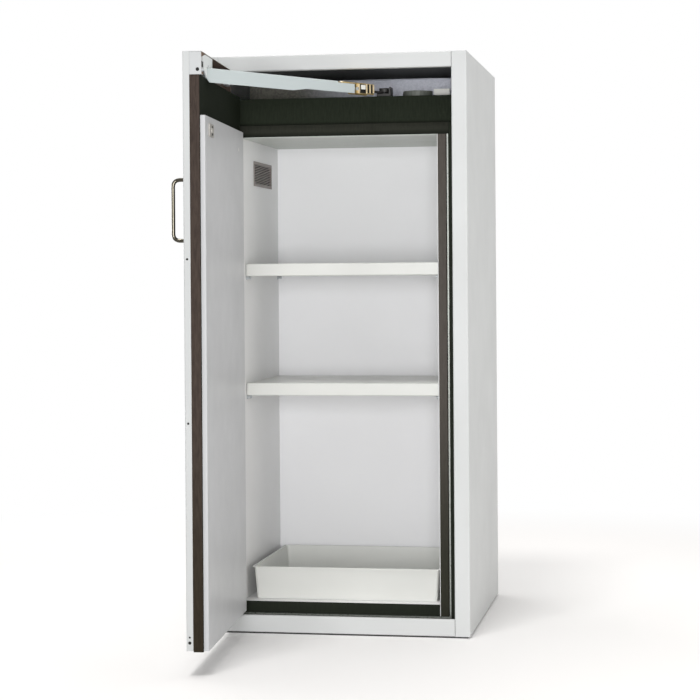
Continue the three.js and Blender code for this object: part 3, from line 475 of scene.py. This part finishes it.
# Two bands of the leaf, in metres along it, through it and up: the inside of the pan, which is brown
# like the seal and darkened as painted shade inside the pan, and the faces of the core behind its free
# edge.
pan_inside = {"Along Min": -0.0152, "Along Max": 0.5032, "Deep Min": -0.0092, "Deep Max": 1,
              "High Min": 0.0523, "High Max": 1.2545}
core_faces = {"Along Min": -1, "Along Max": 0.5018, "Deep Min": -1, "Deep Max": 1,
              "High Min": -1, "High Max": 2}
leaf_band = bpy.data.node_groups.new("leaf_band", "ShaderNodeTree")
for socket in ("Along Min", "Along Max", "Deep Min", "Deep Max", "High Min", "High Max"):
    leaf_band.interface.new_socket(socket, in_out="INPUT", socket_type="NodeSocketFloat")
leaf_band.interface.new_socket("Mask", in_out="OUTPUT", socket_type="NodeSocketFloat")
entry = leaf_band.nodes.new("NodeGroupInput")
leave = leaf_band.nodes.new("NodeGroupOutput")
place = leaf_band.nodes.new("ShaderNodeTexCoord")
turn = leaf_band.nodes.new("ShaderNodeMapping")
turn.inputs["Rotation"].default_value = (0, 0, leaf_turn)
turn.inputs["Location"].default_value = (
    -(leaf_pivot[0] * cos(leaf_turn) - leaf_pivot[1] * sin(leaf_turn)),
    -(leaf_pivot[0] * sin(leaf_turn) + leaf_pivot[1] * cos(leaf_turn)), 0)
leaf_band.links.new(place.outputs["Object"], turn.inputs["Vector"])
split = leaf_band.nodes.new("ShaderNodeSeparateXYZ")
leaf_band.links.new(turn.outputs[0], split.inputs[0])
inside = None
for axis, way in (("X", "Along"), ("Y", "Deep"), ("Z", "High")):
    for limit, operation in (("Min", "GREATER_THAN"), ("Max", "LESS_THAN")):
        test = leaf_band.nodes.new("ShaderNodeMath")
        test.operation = operation
        leaf_band.links.new(split.outputs[axis], test.inputs[0])
        leaf_band.links.new(entry.outputs[way + " " + limit], test.inputs[1])
        if inside is None:
            inside = test.outputs[0]
            continue
        both = leaf_band.nodes.new("ShaderNodeMath")
        both.operation = "MULTIPLY"
        leaf_band.links.new(inside, both.inputs[0])
        leaf_band.links.new(test.outputs[0], both.inputs[1])
        inside = both.outputs[0]
leaf_band.links.new(inside, leave.inputs["Mask"])
skin_paint = finish_material("leaf_powder_coat", (203, 205, 205), (196, 198, 198), coat,
                             values={"Rough": 0.5}, Specular_IOR_Level=0.3)
# Brown inside the pan, darkened there as painted shade.
shade(skin_paint, leaf_band, pan_inside, (104, 88, 78), (84, 70, 62))
dress(skin_paint, "door_skin")
cap_paint = finish_material("cap_powder_coat", (199, 201, 202), (192, 194, 195), coat,
                            values={"Rough": 0.5}, Specular_IOR_Level=0.3)
dress(cap_paint, "door_end_cap")
core_board = finish_material("core_fire_board", (78, 68, 62), (60, 52, 48), board,
                             Specular_IOR_Level=0.06)
shade(core_board, foot_mask, {"Low": 0.05, "High": 0.6}, (54, 48, 38), (44, 38, 30))
shade(core_board, leaf_band, core_faces, (23, 28, 19), (16, 20, 13))
dress(core_board, "door_core")
panel_face = finish_material("coated_inner_board", (199, 200, 202), (191, 192, 194), coat,
                             values={"Peel": 0.06, "Peel Scale": 600, "Rough": 0.4})
dress(panel_face, "door_inner_panel")
dress(zinc, "pivot_pin_top", "pivot_pin_bottom", "pivot_block_top", "pivot_block_bottom")
strike_metal = finish_material("satin_strike_plate", (184, 181, 176), (170, 167, 162), plating,
                               metallic=0.25, values={"Rough": 0.45})
dress(strike_metal, "strike_plate")


# Screws and small fittings of the leaf: black screws sunk in its free edge and in the end cap, a
# plastic cap over a screw of the inner face, two dark screws in the strike plate, and beside the end
# cap a black slotted guide with a bright tongue.
leaf_place = Matrix.Translation((leaf_pivot[0], leaf_pivot[1], 0)) @ Matrix.Rotation(-leaf_turn, 4, "Z")
along_axis = Matrix.Rotation(pi / 2, 4, "Y")
inward_axis = Matrix.Rotation(-pi / 2, 4, "X")
edge_screw_line = (0.503, -0.003)
edge_screw_spots = ((0.068, 0.0034), (0.079, 0.0025), (0.5081, 0.0027), (0.8378, 0.0027))
edge_screw_head = 0.0008
cap_screw_spot = (0.5006, 0.0209, 1.2185)
cap_screw_radius, cap_screw_head = 0.0037, 0.0022
guide_middle, guide_size = (0.495, 0.0294, 1.229), (0.0145, 0.0012, 0.0115)
tongue_middle, tongue_size = (0.4915, 0.0303, 1.2167), (0.021, 0.003, 0.0032)
panel_cap_spot = (0.0749, 0.0345, 1.0846)
panel_cap_radius, panel_cap_ease, panel_cap_rise = 0.0042, 0.0006, 0.0007
strike_screw_line = (0.429, 0.0375)
strike_screw_heights = (1.0925, 1.1075)
strike_screw_radius, strike_screw_head = 0.0024, 0.0012
fine_ease, small_ease, wide_ease = 0.0003, 0.0005, 0.001
tongue_ease = 0.0011
merge_distance = 0.000001


def fitted(name, bm, place, material, body):
    """Turns a finished bmesh into a piece that rides on a body."""
    bmesh.ops.remove_doubles(bm, verts=bm.verts, dist=merge_distance)
    bmesh.ops.holes_fill(bm, edges=bm.edges, sides=0)
    bmesh.ops.recalc_face_normals(bm, faces=bm.faces)
    bmesh.ops.transform(bm, matrix=place, verts=bm.verts)
    mesh = bpy.data.meshes.new(name)
    bm.to_mesh(mesh)
    bm.free()
    mesh.materials.append(material)
    piece = bpy.data.objects.new(name, mesh)
    bpy.context.scene.collection.objects.link(piece)
    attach(piece, body)


def slab(bm, centre, size, round_off):
    """A small block with eased edges."""
    block = Matrix.Translation(centre) @ Matrix.Diagonal((*size, 1))
    made = bmesh.ops.create_cube(bm, size=1, matrix=block)
    edges = list({edge for vert in made["verts"] for edge in vert.link_edges})
    bmesh.ops.bevel(bm, geom=edges, offset=round_off, offset_type="OFFSET", segments=2, profile=0.5,
                    affect="EDGES", material=-1)


def screw(bm, place, radius, height):
    """A cheese head with a round socket sunk in it, its axis along Z."""
    rim_width, rim_rise = 0.12 * radius, 0.08 * radius
    socket_radius = 0.45 * radius
    socket_depth = 0.5 * height
    head = bmesh.ops.create_circle(bm, cap_ends=True, radius=radius, segments=20, matrix=place)
    rim = bmesh.ops.extrude_face_region(bm, geom=list({f for v in head["verts"] for f in v.link_faces}))
    top = [item for item in rim["geom"] if isinstance(item, bmesh.types.BMVert)]
    outward = place.to_3x3() @ Vector((0, 0, 1))
    bmesh.ops.translate(bm, verts=top, vec=height * outward)
    face = [item for item in rim["geom"] if isinstance(item, bmesh.types.BMFace)]
    bmesh.ops.inset_region(bm, faces=face, thickness=rim_width, depth=rim_rise)
    bmesh.ops.inset_region(bm, faces=face, thickness=radius - rim_width - socket_radius, depth=0)
    well = bmesh.ops.extrude_face_region(bm, geom=face)
    sunk = [item for item in well["geom"] if isinstance(item, bmesh.types.BMVert)]
    bmesh.ops.translate(bm, verts=sunk, vec=-socket_depth * outward)


black_screw_and_gap_shade = finish_material("black_screw_and_gap_shade", (30, 28, 26), (20, 19, 18), plating, metallic=0.6,
                              values={"Rough": 0.5})
bm = bmesh.new()
for height_up, radius in edge_screw_spots:
    spot = (*edge_screw_line, height_up)
    screw(bm, Matrix.Translation(spot) @ along_axis, radius, edge_screw_head)
fitted("edge_screws", bm, leaf_place, black_screw_and_gap_shade, "door_leaf")
bm = bmesh.new()
screw(bm, Matrix.Translation(cap_screw_spot) @ along_axis, cap_screw_radius, cap_screw_head)
slab(bm, guide_middle, guide_size, small_ease)
fitted("end_cap_screw", bm, leaf_place, black_screw_and_gap_shade, "door_leaf")
bm = bmesh.new()
slab(bm, tongue_middle, tongue_size, tongue_ease)
fitted("end_cap_tongue", bm, leaf_place, zinc, "door_leaf")
bm = bmesh.new()
bmesh.ops.create_circle(bm, cap_ends=True, radius=panel_cap_radius, segments=24,
                        matrix=Matrix.Translation(panel_cap_spot) @ inward_axis)
bmesh.ops.inset_region(bm, faces=bm.faces, thickness=panel_cap_ease, depth=panel_cap_rise)
fitted("panel_screw_cap", bm, leaf_place, white_plastic, "door_leaf")
bm = bmesh.new()
for height_up in strike_screw_heights:
    spot = (*strike_screw_line, height_up)
    screw(bm, Matrix.Translation(spot) @ inward_axis, strike_screw_radius, strike_screw_head)
fitted("strike_screws", bm, leaf_place, black_screw_and_gap_shade, "door_leaf")


# Brown expanding seal glued in the corner under the leaf's top flange, beside the end cap. Its strip is
# cut off at a slant. A second short piece fills the foot of the corner.
seal_end, seal_start = 0.5028, 0.461
seal_top, seal_low = 1.2534, 1.2438
seal_face, seal_thickness = 0.0291, 0.0018
foot_middle, foot_size = (0.4945, 0.0295, 1.2112), (0.0145, 0.0014, 0.005)
seal_brown = finish_material("brown_seal", (118, 101, 88), (98, 83, 72), board, Specular_IOR_Level=0.25)
bm = bmesh.new()
corners = [bm.verts.new((along, seal_face, level)) for along, level in
           ((seal_end, seal_top), (seal_start, seal_top), (seal_end, seal_low))]
thick = bmesh.ops.extrude_face_region(bm, geom=[bm.faces.new(corners)])
raised = [item for item in thick["geom"] if isinstance(item, bmesh.types.BMVert)]
bmesh.ops.translate(bm, verts=raised, vec=(0, seal_thickness, 0))
slab(bm, foot_middle, foot_size, small_ease)
fitted("flange_seal", bm, leaf_place, seal_brown, "door_leaf")


# Handle on the leaf's outer face, near its free edge: one round steel bar, bent at both ends and
# chromium plated.
# The chromium's colour is kept dark as a painted reflection of a dark room.
chrome = finish_material("chromium_plate", (82, 79, 71), (68, 65, 57), plating, metallic=1,
                         values={"Streak": 0.02, "Rough": 0.1, "Rough Swing": 0.03})
dress(chrome, "door_handle")


# Hold-open stay: a coated channel pivoted under a bracket on the leaf, and a yellow-plated link whose
# black hook grips the stud of the catch.
stay_coat = finish_material("stay_coat", (190, 199, 200), (183, 192, 193), coat,
                            values={"Peel": 0.08, "Rough": 0.34})
gilt = finish_material("yellow_zinc_plate", (206, 184, 134), (172, 148, 100), plating, metallic=0.85,
                       values={"Streak": 0.3, "Streak Scale": 220, "Rough": 0.34})
bracket_paint = finish_material("bracket_coat", (234, 238, 238), (226, 231, 231), coat)
dress(bracket_paint, "stay_bracket")
dress(stay_coat, "stay_arm")
dress(zinc, "stay_pivot_pin", "stay_elbow_pin")
dress(gilt, "catch_link")


# Fittings on the yellow link's outer cheek: pressed ribs, lighter as a painted highlight, with black
# slabs between them as painted shade of the gaps, a white nylon block in a black slab that paints the
# shade of its opening, and a plated bolt at the channel's end.
link_start = (0.0274, -0.3615)
link_turn = radians(57.46)
rib_deep, rib_middle = 0.0026, -0.0129
rib_spots = ((0.043, 0.006, 1.2065, 0.021), (0.0685, 0.0042, 1.2075, 0.021),
             (0.0798, 0.0042, 1.2085, 0.02), (0.0911, 0.0042, 1.2095, 0.019))
gap_middle, gap_size = (0.0785, -0.0121, 1.2183), (0.029, 0.001, 0.019)
opening_middle, opening_size = (0.0568, -0.0121, 1.2175), (0.0195, 0.001, 0.0195)
block_middle, block_size = (0.0568, -0.0138, 1.2208), (0.013, 0.003, 0.0098)
bolt_spot, bolt_radius, bolt_head = (0.0375, -0.0119, 1.2165), 0.004, 0.003
link_place = Matrix.Translation((link_start[0], link_start[1], 0)) @ Matrix.Rotation(link_turn, 4, "Z")
outward_axis = Matrix.Rotation(pi / 2, 4, "X")
# A lighter copy of the yellow zinc on the ribs: a painted highlight.
gilt_painted_highlight = finish_material("yellow_zinc_painted_highlight", (236, 220, 184), (214, 192, 150), plating,
                              metallic=0.5, values={"Streak": 0.2, "Streak Scale": 300, "Rough": 0.36})
bm = bmesh.new()
for along, wide, low, tall in rib_spots:
    slab(bm, (along, rib_middle, low + tall / 2), (wide, rib_deep, tall), small_ease)
fitted("link_ribs", bm, link_place, gilt_painted_highlight, "catch_link")
bm = bmesh.new()
# Black slabs as painted shade of the gaps between the ribs and of the block's opening.
slab(bm, gap_middle, gap_size, fine_ease)
slab(bm, opening_middle, opening_size, fine_ease)
fitted("link_gaps", bm, link_place, black_screw_and_gap_shade, "catch_link")
bm = bmesh.new()
slab(bm, block_middle, block_size, wide_ease)
fitted("link_block", bm, link_place, white_plastic, "catch_link")
bm = bmesh.new()
screw(bm, Matrix.Translation(bolt_spot) @ outward_axis, bolt_radius, bolt_head)
fitted("link_bolt", bm, link_place, zinc, "catch_link")
